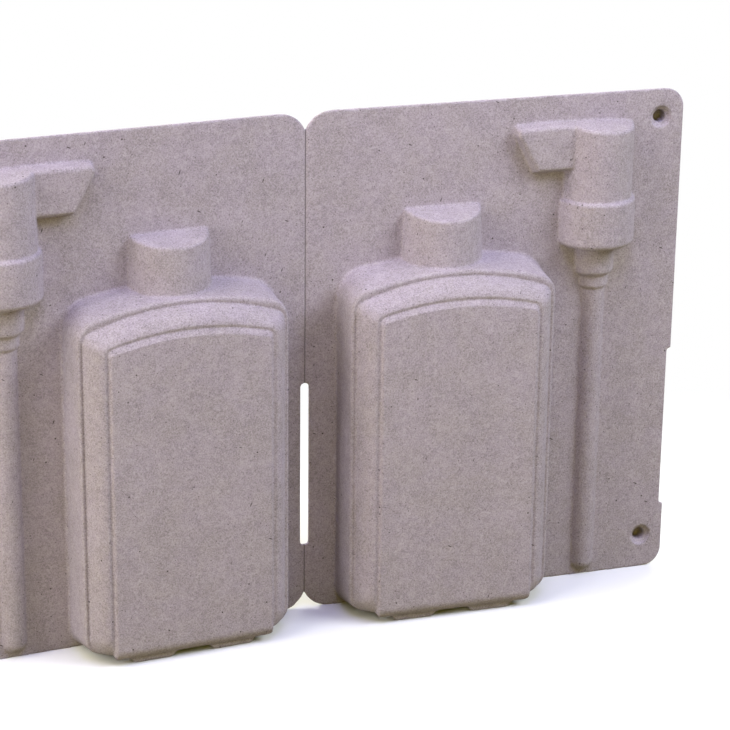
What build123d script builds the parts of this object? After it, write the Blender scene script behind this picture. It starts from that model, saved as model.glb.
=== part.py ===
from build123d import *
import math
import os

# Moulded pulp insert that ships one pump bottle, opened out at its fold.
# It is one sheet of two mirrored halves. Each half has a pocket for half of the
# bottle and a pocket for half of its pump, which is packed beside it. Millimetres.
#
# Each half is drawn lying flat: x runs out from the fold, y runs up the sheet
# and z is the depth that a pocket stands out from the front skin at z = 0.
# The half is then stood up, so that its pockets face -Y.

# Sheet
wall = 1.6
panel_width = 186.5
panel_height = 245.0
outer_corner = 9.5
fold_angle = 5.6

# Rounded notches where the two halves' corners meet, at both ends of the fold
fold_notch_run = 12.5
fold_notch_drop = 8.6

# Slot along the fold, and the half slot at each outer edge
slot_bottom = 33.0
slot_length = 82.0
slot_half_width = 2.0
slot_corner = 1.6

# Pressed line along the fold
score_width = 1.6
score_depth = 0.6

# Bottle pocket: the body rises from its blended root on the sheet
bottle_x = 66.2
root_half = 50.8
root_top = 173.3
root_arch = 200.0
root_bottom = 0.9
root_corner = 14.0
root_blend = 1.4
root_angle = 20.0
root_steps = 3

# Rim of the body, drawn in from the root by the draft of its walls
rim_depth = 21.0
rim_side_draft = 0.8
rim_top_draft = 2.5
rim_bottom_draft = 3.4
rim_arch = 160.0
rim_corner = 9.5
rim_round = 1.7

# Bottom corners of the bottle pocket
pocket_corner = 9.0

# Pillow band that rises from a crease inside the rim to the label field
crease_side = 2.4
crease_top = 2.9
crease_depth = 20.5
crease_width = 1.3
pillow_arch = 128.0
pillow_run = 8.2
pillow_under = 5.6
pillow_bottom = 3.7
pillow_depth = 29.9
pillow_lean = 30
pillow_corner = 5.0
pillow_low_corner = 8.5

# Raised label field, which runs down and round the bottom edge
label_half = 38.8
label_top = 159.2
label_arch = 143.0
label_bottom = 2.5
label_depth = 31.0
label_side_bevel = 1.1
label_top_bevel = 2.6
label_corner = 3.0
label_low_corner = 4.5
label_bottom_round = 6.5

# Groove between the pillow band and the label field
groove_width = 1.3
groove_depth = 0.65

# Two feet under the bottle pocket, level with the sheet's bottom edge
foot_spacing = 38.6
foot_width = 23.0
foot_slope = 2.9
foot_setback = 4.0
foot_round = 0.7

# Bottle neck
neck_height = 23.0
neck_radius = 18.6
neck_base_radius = 19.6
neck_round = 1.2

# Slope of the faces that look up, so that the sheet leaves its mould
top_draft = 10.0

# Pump pocket: parts turned about one upright axis, from the head down
pump_margin = 42.7
head_margin = 12.2
head_height = 37.6
head_radius = 17.0
head_round = 1.8
crown_arch = 390.0
crown_reach = 21.0
collar_height = 23.6
collar_radius = 18.8
collar_rim_round = 1.5
collar_round = 2.8
closure_height = 14.7
closure_radius = 9.6
closure_round = 2.6
step_height = 6.8
step_radius = 7.2
step_round = 1.8
tube_bottom = 2.4
tube_radius = 5.9
turned_draft = 1.2

# Spout of the pump, which points at the bottle
spout_reach = 42.8
spout_tip_height = 5.0
spout_under_reach = 33.0
spout_height = 24.0
spout_depth = 6.8
spout_draft = 2.2
spout_end_draft = 0.4
spout_round = 1.8

# Hollow pegs near the outer corners of one half, and their holes in the other
peg_margin = 11.5
peg_low = 17.0
peg_high_margin = 13.5
peg_bore = 3.1
peg_lip = 2.0
peg_length = 10.0
peg_round = 1.2
peg_clearance = 0.4

# How far a cavity is drawn past the back of the sheet, so that it is open there
open_back = 1.0

# Least radius of a rounded edge inside a cavity
least_round = 0.4

# Places that follow from the sizes above
rim_half = root_half - rim_side_draft
rim_top = root_top - rim_top_draft
rim_bottom = root_bottom + rim_bottom_draft
neck_top = root_top + neck_height
pump_x = panel_width - pump_margin
head_top = panel_height - head_margin
collar_top = head_top - head_height
collar_bottom = collar_top - collar_height
closure_bottom = collar_bottom - closure_height
step_bottom = closure_bottom - step_height
peg_x = panel_width - peg_margin
peg_heights = (peg_low, panel_height - peg_high_margin)


def panel():
    """Half of the flat sheet, with its back at z = -wall."""
    outline = Pos((panel_width - wall) / 2, panel_height / 2) * Rectangle(
        panel_width + wall, panel_height
    )
    outline = fillet(outline.vertices().group_by(Axis.X)[-1], outer_corner)
    turn = 2 * math.atan(fold_notch_drop / fold_notch_run)
    radius = fold_notch_run / math.sin(turn)
    corner = Pos(0, panel_height) * Rectangle(
        2 * fold_notch_run, 2 * fold_notch_drop
    ) - Pos(fold_notch_run, panel_height - radius) * Circle(radius)
    outline -= corner
    outline -= mirror(corner, Plane.XZ.offset(-panel_height / 2))
    slot = Pos(0, slot_bottom + slot_length / 2) * RectangleRounded(
        2 * slot_half_width, slot_length, slot_corner
    )
    outline -= slot
    outline -= Pos(panel_width, 0) * slot
    return extrude(outline, -wall)


def skin_round(radius, inset):
    """Radius of a rounded edge, which shrinks by the wall on the cavity side."""
    return max(radius - inset, least_round)


def arched_outline(half, top, arch, bottom, top_corner, bottom_corner):
    """Upright outline about the bottle's middle, with an arched top."""
    shoulder = top - arch + math.sqrt(arch**2 - half**2)
    sides = Polyline((half, shoulder), (half, bottom), (-half, bottom), (-half, shoulder))
    crown = ThreePointArc((-half, shoulder), (0, top), (half, shoulder))
    outline = make_face(sides + crown)
    outline = fillet(outline.vertices().group_by(Axis.Y)[-1], top_corner)
    outline = fillet(outline.vertices().group_by(Axis.Y)[0], bottom_corner)
    return Pos(bottle_x, 0) * outline


def back_level(inset):
    """Height at which a form ends: the sheet's back, or just behind it for a cavity."""
    return -wall - open_back if inset else -wall


def bottle_body(inset):
    """Drafted body of the bottle pocket, from its blended root to the rim."""
    blend = root_blend + inset
    start = blend * (1 - math.cos(math.radians(root_angle)))
    sections = []
    for step in range(root_steps + 1):
        angle = math.radians(root_angle + (90 - root_angle) * step / root_steps)
        flare = blend * (1 - math.sin(angle))
        outline = arched_outline(
            root_half - inset + flare,
            root_top - inset + flare,
            root_arch,
            root_bottom + inset,
            root_corner,
            pocket_corner,
        )
        sections.append(Pos(0, 0, blend * (1 - math.cos(angle)) - start - inset) * outline)
    rim = arched_outline(
        rim_half - inset,
        rim_top - inset,
        rim_arch,
        rim_bottom + inset,
        rim_corner,
        pocket_corner,
    )
    mouth = extrude(sections[0], back_level(inset) + inset, dir=(0, 0, 1))
    body = loft([sections[-1], Pos(0, 0, rim_depth - inset) * rim], ruled=True)
    body = fillet(
        body.faces().sort_by(Axis.Z)[-1].edges(), skin_round(rim_round, inset)
    )
    return mouth + loft(sections) + body


def pillow_outline(run, under):
    """Outline of the pillow band, drawn in from its crease, and lifted at the bottom."""
    return arched_outline(
        rim_half - crease_side - run,
        rim_top - crease_top - run,
        pillow_arch,
        pillow_bottom + under,
        pillow_corner,
        pillow_low_corner,
    )


def crease(inset):
    """What is cut from the rim, so that it slopes down to the pillow's crease."""
    floor = crease_depth - inset
    drop = rim_depth - crease_depth
    margin = inset - 2 * crease_width
    wide = Pos(0, 0, floor + 2 * drop) * pillow_outline(margin, margin)
    return loft([Pos(0, 0, floor) * pillow_outline(inset, inset), wide], ruled=True)


def pillow(inset):
    """Rounded band between the rim's crease and the label field, on a core under it."""
    lean = math.radians(pillow_lean)
    sections = []
    for part in (0, 0.25, 0.5, 0.75, 1):
        turn = lean + part * (math.pi / 2 - lean)
        run = 1 - math.cos(turn) / math.cos(lean)
        rise = (math.sin(turn) - math.sin(lean)) / (1 - math.sin(lean))
        outline = pillow_outline(inset + pillow_run * run, inset + pillow_under * run)
        depth = crease_depth - inset + (pillow_depth - crease_depth) * rise
        sections.append(Pos(0, 0, depth) * outline)
    core = extrude(sections[0], back_level(inset) + inset - crease_depth)
    return core + loft(sections)


def label_outline(side, top, bottom):
    """Outline of the label field, drawn in by a margin at its sides, top and bottom."""
    return arched_outline(
        label_half - side,
        label_top - top,
        label_arch,
        label_bottom + bottom,
        label_corner,
        label_low_corner,
    )


def label_groove(inset):
    """What is cut from the pillow band round the label field."""
    floor = pillow_depth - groove_depth - inset
    margin = -2 * groove_width
    wide = Pos(0, 0, floor + 2 * groove_depth) * label_outline(margin, margin, margin)
    return loft([Pos(0, 0, floor) * label_outline(0, 0, 0), wide], ruled=True)


def label_field(inset):
    """Raised field in the middle, which also runs down and round the bottom edge."""
    side = make_face(
        Polyline(
            (label_bottom + inset, 0),
            (label_top, 0),
            (label_top, label_depth - inset),
            (label_bottom + inset, label_depth - inset),
            close=True,
        )
    )
    edge = side.vertices().sort_by_distance((label_bottom + inset, label_depth - inset, 0))[0]
    side = fillet(edge, label_bottom_round - inset)
    strap = extrude(Plane.YZ * side, label_half, both=True)
    foot_of_bevel = pillow_depth - groove_depth - inset
    low = label_outline(inset, inset, inset)
    face = label_outline(label_side_bevel + inset, label_top_bevel + inset, inset)
    bevel = loft(
        [Pos(0, 0, foot_of_bevel) * low, Pos(0, 0, label_depth - inset) * face], ruled=True
    )
    return (Pos(bottle_x, 0, 0) * strap) & (extrude(low, foot_of_bevel) + bevel)


def feet(inset):
    """Two ridges under the pocket, which reach the level of the sheet's edge."""
    height = label_bottom + label_bottom_round
    low = label_bottom + inset
    half = foot_width / 2 - inset
    ends = Polyline(
        (-half, height),
        (-half, low),
        (-half + foot_slope, inset),
        (half - foot_slope, inset),
        (half, low),
        (half, height),
        close=True,
    )
    front = label_depth - foot_setback - inset
    side = make_face(
        Polyline((inset, 0), (inset, front), (height, front), (height, 0), close=True)
    )
    edge = side.vertices().sort_by_distance((inset, front, 0))[0]
    side = fillet(edge, foot_round)
    ridge = extrude(make_face(ends), 2 * label_depth) & extrude(Plane.YZ * side, foot_width, both=True)
    left = Pos(bottle_x - foot_spacing / 2, 0) * ridge
    right = Pos(bottle_x + foot_spacing / 2, 0) * ridge
    return left + right


def cut_back(form, inset):
    """Cut away what lies behind the level at which a form ends."""
    return split(form, bisect_by=Plane.XY.offset(back_level(inset)), keep=Keep.TOP)


def drafted_top(form, height):
    """Cut a form below a face that slopes down away from the sheet."""
    slope = math.radians(top_draft)
    normal = (0, math.cos(slope), math.sin(slope))
    return split(form, bisect_by=Plane(origin=(0, height, 0), z_dir=normal), keep=Keep.BOTTOM)


def crowned_top(form, height):
    """Cut the pump's form below a slightly arched top that slopes down from the sheet."""
    slope = math.radians(top_draft)
    middle = pump_x - crown_reach
    behind = wall + open_back
    disc = Pos(middle, height - crown_arch + behind * math.tan(slope), -behind) * Circle(crown_arch)
    below = extrude(disc, 2 * label_depth, dir=(0, -math.sin(slope), math.cos(slope)))
    return form & below


def about_axis(profile, axis_x):
    """Turn a half profile about a pocket's axis, which lies in the sheet's back."""
    axis = Axis((axis_x, 0, -wall), (0, 1, 0))
    return revolve(Pos(axis_x, 0, -wall) * profile, axis=axis)


def round_top(form, radius):
    """Round the edges of a form's highest face, apart from the one at its back."""
    edges = form.faces().filter_by(lambda f: f.normal_at().Y > 0.9).sort_by(Axis.Y)[-1].edges()
    back = edges.group_by(Axis.Z)[0]
    return fillet([edge for edge in edges if edge not in back], radius)


def neck(inset):
    """Half-round neck of the bottle pocket."""
    low = root_top - 12
    high = neck_top + 5
    flare = (neck_base_radius - neck_radius) / (neck_top - root_top)
    low_radius = neck_base_radius + flare * (root_top - low) - inset
    high_radius = neck_radius - flare * (high - neck_top) - inset
    profile = make_face(
        Polyline((0, low), (low_radius, low), (high_radius, high), (0, high), close=True)
    )
    form = drafted_top(about_axis(profile, bottle_x), neck_top - inset)
    return round_top(cut_back(form, inset), skin_round(neck_round, inset))


def pump_body(inset):
    """Head, collar, closure, step and dip tube of the pump, turned as one."""
    tube = tube_radius - inset
    step = step_radius - inset
    closure = closure_radius - inset
    collar = collar_radius - inset
    head = head_radius - inset
    tube_end = (tube, tube_bottom + inset)
    step_edge = (step, step_bottom + turned_draft + inset)
    closure_edge = (closure, closure_bottom + turned_draft + inset)
    collar_edge = (collar, collar_bottom + turned_draft + inset)
    collar_rim = (collar, collar_top - inset)
    profile = make_face(
        Polyline(
            (0, tube_bottom + inset),
            tube_end,
            (tube, step_bottom + inset),
            step_edge,
            (step, closure_bottom + inset),
            closure_edge,
            (closure, collar_bottom + inset),
            collar_edge,
            collar_rim,
            (head, collar_top - inset),
            (head, head_top + 6),
            (0, head_top + 6),
            close=True,
        )
    )
    for point, radius in (
        (tube_end, 0.9 * tube),
        (step_edge, step_round),
        (closure_edge, closure_round),
        (collar_edge, collar_round),
        (collar_rim, collar_rim_round),
    ):
        corner = profile.vertices().sort_by_distance((point[0], point[1], 0))[0]
        profile = fillet(corner, radius)
    return about_axis(profile, pump_x)


def spout(inset):
    """Flat-fronted spout with a slanted end, drafted from the sheet to its front."""
    tip = pump_x - spout_reach + inset
    under = pump_x - spout_under_reach + inset / 2
    tip_bottom = head_top - spout_tip_height
    bottom = head_top - spout_height + inset
    high = head_top + 6

    def outline(shift, lift):
        return make_face(
            Polyline(
                (tip + shift, high),
                (tip + shift, tip_bottom),
                (under + shift, bottom + lift),
                (pump_x, bottom + lift),
                (pump_x, high),
                close=True,
            )
        )

    root = outline(0, 0)
    front = outline(spout_end_draft, spout_draft)
    form = loft([root, Pos(0, 0, spout_depth - inset) * front], ruled=True)
    edges = form.faces().sort_by(Axis.Z)[-1].edges().sort_by(Axis.X)[:-1].sort_by(Axis.Y)[:-1]
    form = fillet(edges, spout_round)
    return form + extrude(root, -wall - open_back)


def pump(inset):
    """Whole pump pocket, with an arched and rounded top."""
    form = crowned_top(pump_body(inset) + spout(inset), head_top - inset)
    return round_top(cut_back(form, inset), skin_round(head_round, inset))


def bottle(inset):
    """Whole bottle pocket."""
    body = bottle_body(inset) - crease(inset)
    band = pillow(inset) - label_groove(inset)
    return body + band + label_field(inset) + feet(inset) + neck(inset)


def peg_bore_form():
    """Inside of a peg, which flares out into a rounded mouth at the front."""
    floor = wall - peg_length
    wide = peg_bore + peg_lip
    profile = Polyline((0, 0), (0, floor), (peg_bore, floor), (peg_bore, -peg_lip))
    lip = RadiusArc((peg_bore, -peg_lip), (wide, 0), -peg_lip)
    half_section = make_face(profile + lip + Line((wide, 0), (0, 0)))
    return revolve(Plane.XZ * half_section, axis=Axis.Z)


def pegged(half):
    """Hollow pegs that stand out behind a half, with a rounded mouth in front."""
    for height in peg_heights:
        spot = Pos(peg_x, height)
        peg = extrude(Circle(peg_bore + wall), -peg_length)
        peg = fillet(peg.edges().group_by(Axis.Z)[0], peg_round)
        half += spot * peg
        half -= spot * peg_bore_form()
    return half


def holed(half):
    """Holes in the other half that take the pegs when the insert is folded shut."""
    for height in peg_heights:
        half -= Pos(peg_x, height) * extrude(
            Circle(peg_bore + wall + peg_clearance), 2 * wall, both=True
        )
    return half


def stood_up(half):
    """Stand a half up on its edge and turn it by its share of the fold."""
    half = Rot(0, 0, -fold_angle / 2) * (Plane.XZ.location * half)
    return split(half, bisect_by=Plane.YZ, keep=Keep.TOP)


def score():
    """Pressed line down the front of the fold."""
    profile = Polyline(
        (-score_width / 2, -score_depth),
        (score_width / 2, -score_depth),
        (0, score_depth),
        close=True,
    )
    return extrude(make_face(profile), panel_height)


skin = panel() + bottle(0) + pump(0)
half = skin - bottle(wall) - pump(wall)
right = stood_up(pegged(half))
left = mirror(stood_up(holed(half)), Plane.YZ)
insert = right + left - score()
insert = Pos(0, -insert.bounding_box().center().Y, 0) * insert

os.makedirs("parts", exist_ok=True)
export_step(insert, "parts/pulp_insert.step")
print("pulp_insert", len(insert.solids()), "solid,", round(insert.volume / 1000), "cubic centimetres")
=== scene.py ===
import math

import bpy
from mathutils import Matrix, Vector


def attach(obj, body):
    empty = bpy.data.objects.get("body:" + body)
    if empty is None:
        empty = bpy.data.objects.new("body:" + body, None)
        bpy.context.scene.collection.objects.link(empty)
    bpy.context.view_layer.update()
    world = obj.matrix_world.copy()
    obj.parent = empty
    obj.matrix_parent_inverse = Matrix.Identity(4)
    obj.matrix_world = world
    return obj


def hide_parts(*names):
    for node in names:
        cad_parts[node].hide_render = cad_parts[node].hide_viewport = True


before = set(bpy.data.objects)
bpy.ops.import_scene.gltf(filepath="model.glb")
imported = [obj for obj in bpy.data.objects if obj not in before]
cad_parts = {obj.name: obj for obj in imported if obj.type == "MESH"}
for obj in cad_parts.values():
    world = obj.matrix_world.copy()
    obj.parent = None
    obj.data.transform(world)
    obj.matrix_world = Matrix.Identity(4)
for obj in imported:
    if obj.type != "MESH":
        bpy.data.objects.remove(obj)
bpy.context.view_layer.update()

# Camera, as the photograph was taken: in front, to the left and above
camera_place = (-0.3718, -1.0431, 0.5225)
camera_turn = (70.49, -0.61, -20.535)
camera_lens = 126.0
camera_sensor = 36

# Studio: lamps aim at the pockets, the sky gives no light, and the floor throws little back
lamp_target = (0, 0, 0.2)
sky_light = (0, 0, 0, 1)
plain_white = (1, 1, 1, 1)
floor_size = 12
floor_white = (0.85, 0.845, 0.81, 1)
floor_bounce = (0.28, 0.26, 0.16, 1)
floor_fade_start = 0.08
floor_fade_end = 0.28
floor_fade_shape = (0.5, 1, 1)

# Skin: the grid on which its edges are softened, how much, and the share of its faces kept
skin_grid = 0.0005
skin_softening = 0.5
skin_softening_rounds = 2
skin_share_kept = 0.085

# Pulp: the colours of its ground, grain, fibres, specks and fold line
ground_cool = (0.365, 0.31, 0.347, 1)
ground_warm = (0.35, 0.30, 0.318, 1)
grain_pale = (0.53, 0.465, 0.50, 1)
grain_deep = (0.18, 0.145, 0.155, 1)
fibre_colour = (0.43, 0.375, 0.40, 1)
speck_colour = (0.09, 0.07, 0.07, 1)
fold_colour = (0.13, 0.11, 0.11, 1)

# Pulp: how fine its patterns are, in cycles per metre
patch_scale = 55
blotch_scale = 90
mottle_scale = 300
grain_scale = 1500
fibre_scale = 1300
large_speck_scale = 230
dash_scale = 300
small_speck_scale = 700
lump_scale = 260
swell_scale = 38

# Pulp: the lie of its fibres and dashes in degrees, and half the width of its fold line
fibre_turns = (25, 80, 140)
dash_turns = (20, 115)
drawn_out_shape = (1, 1, 4)
fold_line_half = 0.0004


def node_tree(material):
    """The empty node tree of a material or world."""
    material.use_nodes = True
    tree = material.node_tree
    tree.nodes.clear()
    return tree


def add(tree, kind, **values):
    """Add a node, with values for its properties and its input sockets."""
    node = tree.nodes.new(kind)
    for name, value in values.items():
        if hasattr(node, name):
            setattr(node, name, value)
        else:
            node.inputs[name.replace("_", " ")].default_value = value
    return node


def noise(tree, place, scale, detail=2.0, roughness=0.5, distortion=0.0):
    """Cloudy pattern, as a value from 0 to 1; the scale is in cycles per metre."""
    node = add(
        tree,
        "ShaderNodeTexNoise",
        Scale=scale,
        Detail=detail,
        Roughness=roughness,
        Distortion=distortion,
    )
    tree.links.new(place, node.inputs["Vector"])
    return node.outputs["Fac"]


def ramp(tree, value, low, high):
    """Stretch a value so that low becomes 0 and high becomes 1, with soft ends."""
    node = add(
        tree,
        "ShaderNodeMapRange",
        interpolation_type="SMOOTHSTEP",
        From_Min=low,
        From_Max=high,
    )
    tree.links.new(value, node.inputs["Value"])
    return node.outputs["Result"]


def combine(tree, operation, first, second):
    """Combine two values, the second of them a socket or a plain number."""
    node = add(tree, "ShaderNodeMath", operation=operation)
    tree.links.new(first, node.inputs[0])
    if isinstance(second, float):
        node.inputs[1].default_value = second
    else:
        tree.links.new(second, node.inputs[1])
    return node.outputs["Value"]


def blend(tree, amount, first, second):
    """Mix two colours, each a socket or a plain colour."""
    node = tree.nodes.new("ShaderNodeMix")
    node.data_type = "RGBA"
    tree.links.new(amount, node.inputs["Factor"])
    for name, colour in (("A", first), ("B", second)):
        socket = [s for s in node.inputs if s.name == name and s.type == "RGBA"][0]
        if isinstance(colour, tuple):
            socket.default_value = colour
        else:
            tree.links.new(colour, socket)
    return [s for s in node.outputs if s.type == "RGBA"][0]


def tone(tree, colour, cloud, change):
    """Darken and lighten a colour by up to a share, following a cloudy pattern."""
    amount = add(
        tree,
        "ShaderNodeMapRange",
        From_Min=0.3,
        From_Max=0.7,
        To_Min=1 - change,
        To_Max=1 + change,
    )
    tree.links.new(cloud, amount.inputs["Value"])
    scaled = add(tree, "ShaderNodeVectorMath", operation="SCALE")
    tree.links.new(colour, scaled.inputs[0])
    tree.links.new(amount.outputs["Result"], scaled.inputs["Scale"])
    return scaled.outputs["Vector"]


def fold_line(tree, place):
    """Dark line along the fold, as a value from 0 to 1."""
    parts = add(tree, "ShaderNodeSeparateXYZ")
    tree.links.new(place, parts.inputs["Vector"])
    away = add(tree, "ShaderNodeMath", operation="ABSOLUTE")
    tree.links.new(parts.outputs["X"], away.inputs[0])
    return ramp(tree, away.outputs["Value"], low=fold_line_half, high=0.0)


def drawn_out(tree, place, turn):
    """Place in a pattern whose spots become dashes, turned in the plane of the sheet."""
    stretch = add(tree, "ShaderNodeMapping", vector_type="TEXTURE", Scale=drawn_out_shape)
    stretch.inputs["Rotation"].default_value = (0, math.radians(turn), 0)
    tree.links.new(place, stretch.inputs["Vector"])
    return stretch.outputs["Vector"]


def fibres(tree, place, turn):
    """Short straight marks, turned by an angle in the plane of the sheet."""
    marks = noise(tree, drawn_out(tree, place, turn), fibre_scale, detail=1.0)
    return ramp(tree, marks, low=0.62, high=0.80)


def specks(tree, place, scale, radius, share):
    """Small round spots in some of the cells of a pattern, as a value from 0 to 1."""
    cells = add(tree, "ShaderNodeTexVoronoi", Scale=scale)
    tree.links.new(place, cells.inputs["Vector"])
    spot = ramp(tree, cells.outputs["Distance"], low=radius, high=0.6 * radius)
    draw = add(tree, "ShaderNodeSeparateColor")
    tree.links.new(cells.outputs["Color"], draw.inputs["Color"])
    chosen = combine(tree, "LESS_THAN", draw.outputs["Red"], share)
    return combine(tree, "MULTIPLY", spot, chosen)


def pulp_colour(tree, place, grain):
    """Mottled ground with pale and deep grain, fibres, specks, dashes and the fold line."""
    patches = noise(tree, place, patch_scale, detail=3.0, roughness=0.6)
    colour = blend(tree, ramp(tree, patches, low=0.38, high=0.62), ground_cool, ground_warm)
    colour = tone(tree, colour, noise(tree, place, blotch_scale), change=0.07)
    colour = tone(tree, colour, noise(tree, place, mottle_scale), change=0.09)
    colour = blend(tree, ramp(tree, grain, low=0.43, high=0.88), colour, grain_pale)
    colour = blend(tree, ramp(tree, grain, low=0.57, high=0.12), colour, grain_deep)
    for turn in fibre_turns:
        colour = blend(tree, fibres(tree, place, turn), colour, fibre_colour)
    large = specks(tree, place, large_speck_scale, radius=0.12, share=0.15)
    colour = blend(tree, large, colour, speck_colour)
    for turn in dash_turns:
        dashes = specks(tree, drawn_out(tree, place, turn), dash_scale, radius=0.10, share=0.12)
        colour = blend(tree, dashes, colour, speck_colour)
    small = specks(tree, place, small_speck_scale, radius=0.26, share=0.07)
    colour = blend(tree, small, colour, grain_deep)
    return blend(tree, fold_line(tree, place), colour, fold_colour)


def pulp_relief(tree, place, grain):
    """The normals of fine bumps, which lie on the slow swell of a moulded surface."""
    height = combine(tree, "MULTIPLY", grain, 0.6)
    height = combine(tree, "ADD", height, noise(tree, place, lump_scale, detail=3.0))
    fine = add(tree, "ShaderNodeBump", Strength=0.5, Distance=0.0006)
    tree.links.new(height, fine.inputs["Height"])
    swell = add(tree, "ShaderNodeBump", Strength=0.4, Distance=0.0015)
    tree.links.new(noise(tree, place, swell_scale), swell.inputs["Height"])
    tree.links.new(fine.outputs["Normal"], swell.inputs["Normal"])
    return swell.outputs["Normal"]


def pulp_material():
    """Grey recycled pulp: mottled, grainy and matt, with dark specks and short fibres."""
    material = bpy.data.materials.new("pulp")
    tree = node_tree(material)
    place = add(tree, "ShaderNodeTexCoord").outputs["Object"]
    grain = noise(tree, place, grain_scale, detail=3.0, roughness=0.6, distortion=0.6)
    shader = add(tree, "ShaderNodeBsdfPrincipled", Roughness=0.92, Specular_IOR_Level=0.25)
    tree.links.new(pulp_colour(tree, place, grain), shader.inputs["Base Color"])
    tree.links.new(pulp_relief(tree, place, grain), shader.inputs["Normal"])
    output = add(tree, "ShaderNodeOutputMaterial")
    tree.links.new(shader.outputs["BSDF"], output.inputs["Surface"])
    return material


def pulp_skin(material):
    """The surface of the moulded sheet, with its edges softened as in pulp."""
    skin = bpy.data.objects.new("pulp_skin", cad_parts["pulp_insert"].data.copy())
    bpy.context.scene.collection.objects.link(skin)
    even = skin.modifiers.new("even", "REMESH")
    even.mode = "VOXEL"
    even.voxel_size = skin_grid
    soften = skin.modifiers.new("soften", "SMOOTH")
    soften.factor = skin_softening
    soften.iterations = skin_softening_rounds
    thin = skin.modifiers.new("thin", "DECIMATE")
    thin.ratio = skin_share_kept
    depsgraph = bpy.context.evaluated_depsgraph_get()
    mesh = bpy.data.meshes.new_from_object(skin.evaluated_get(depsgraph))
    skin.modifiers.clear()
    skin.data = mesh
    mesh.shade_smooth()
    mesh.materials.clear()
    mesh.materials.append(material)
    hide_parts("pulp_insert")
    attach(skin, "root")


def seen_directly(tree):
    """1 where the camera sees a surface, straight or by a reflection, and 0 elsewhere."""
    path = add(tree, "ShaderNodeLightPath")
    seen = combine(tree, "MAXIMUM", path.outputs["Is Camera Ray"], path.outputs["Is Glossy Ray"])
    return combine(tree, "MAXIMUM", seen, path.outputs["Is Transmission Ray"])


def studio_floor():
    """Wide pale floor that keeps the object's shadow and fades to plain white round it."""
    bpy.ops.mesh.primitive_plane_add(size=floor_size, location=(0, 0, 0))
    floor = bpy.context.active_object
    floor.name = "studio_floor"
    material = bpy.data.materials.new("studio_white")
    tree = node_tree(material)
    seen = seen_directly(tree)
    lit = add(tree, "ShaderNodeBsdfDiffuse")
    tree.links.new(blend(tree, seen, floor_bounce, floor_white), lit.inputs["Color"])
    plain = add(tree, "ShaderNodeEmission", Color=plain_white)
    place = add(tree, "ShaderNodeMapping", Scale=floor_fade_shape)
    tree.links.new(add(tree, "ShaderNodeTexCoord").outputs["Object"], place.inputs["Vector"])
    away = add(tree, "ShaderNodeVectorMath", operation="LENGTH")
    tree.links.new(place.outputs["Vector"], away.inputs[0])
    faded = ramp(tree, away.outputs["Value"], floor_fade_start, floor_fade_end)
    mix = add(tree, "ShaderNodeMixShader")
    tree.links.new(combine(tree, "MULTIPLY", faded, seen), mix.inputs["Fac"])
    tree.links.new(lit.outputs["BSDF"], mix.inputs[1])
    tree.links.new(plain.outputs["Emission"], mix.inputs[2])
    output = add(tree, "ShaderNodeOutputMaterial")
    tree.links.new(mix.outputs["Shader"], output.inputs["Surface"])
    floor.data.materials.append(material)


def studio_world():
    """A sky that gives no light, and is plain white where the camera sees past the floor."""
    world = bpy.data.worlds.new("studio")
    bpy.context.scene.world = world
    tree = node_tree(world)
    sky = add(tree, "ShaderNodeBackground")
    tree.links.new(blend(tree, seen_directly(tree), sky_light, plain_white), sky.inputs["Color"])
    output = add(tree, "ShaderNodeOutputWorld")
    tree.links.new(sky.outputs["Background"], output.inputs["Surface"])


def soft_light(name, place, width, power, colour):
    """Square area lamp that looks at the object."""
    data = bpy.data.lights.new(name, "AREA")
    data.shape = "SQUARE"
    data.size = width
    data.energy = power
    data.color = colour
    lamp = bpy.data.objects.new(name, data)
    bpy.context.scene.collection.objects.link(lamp)
    lamp.location = place
    direction = Vector(lamp_target) - lamp.location
    lamp.rotation_euler = direction.to_track_quat("-Z", "Y").to_euler()


def studio_lamps():
    """Cool lamps at the sides and above, warm ones upper left and in front, and two behind."""
    soft_light("right", (0.8, -0.6, 0.9), width=0.6, power=12.8, colour=(0.94, 1.0, 1.12))
    soft_light("left", (-1.0, -0.3, 0.45), width=0.6, power=6.2, colour=(1.0, 1.0, 1.1))
    soft_light("upper_left", (-1.55, 0, 2.0), width=1.8, power=50, colour=(1.0, 0.96, 0.75))
    soft_light("front", (-0.55, -2.1, 0.9), width=1.5, power=10, colour=(1.0, 0.86, 0.10))
    soft_light("top", (-0.1, -0.5, 1.1), width=0.6, power=6.3, colour=(0.55, 0.56, 1.1))
    soft_light("behind_left", (-0.9, 0.75, 0.9), width=0.6, power=15, colour=(0.97, 0.97, 1.0))
    soft_light("behind_right", (1.0, 0.95, 0.6), width=0.6, power=9, colour=(0.97, 0.97, 1.0))


def photo_camera():
    """The camera, at the place and angle of the photograph's."""
    data = bpy.data.cameras.new("camera")
    data.sensor_width = camera_sensor
    data.lens = camera_lens
    camera = bpy.data.objects.new("camera", data)
    bpy.context.scene.collection.objects.link(camera)
    camera.location = camera_place
    camera.rotation_euler = [math.radians(angle) for angle in camera_turn]
    bpy.context.scene.camera = camera


pulp_skin(pulp_material())
studio_floor()
studio_world()
studio_lamps()
photo_camera()

scene = bpy.context.scene
scene.view_settings.view_transform = "Standard"
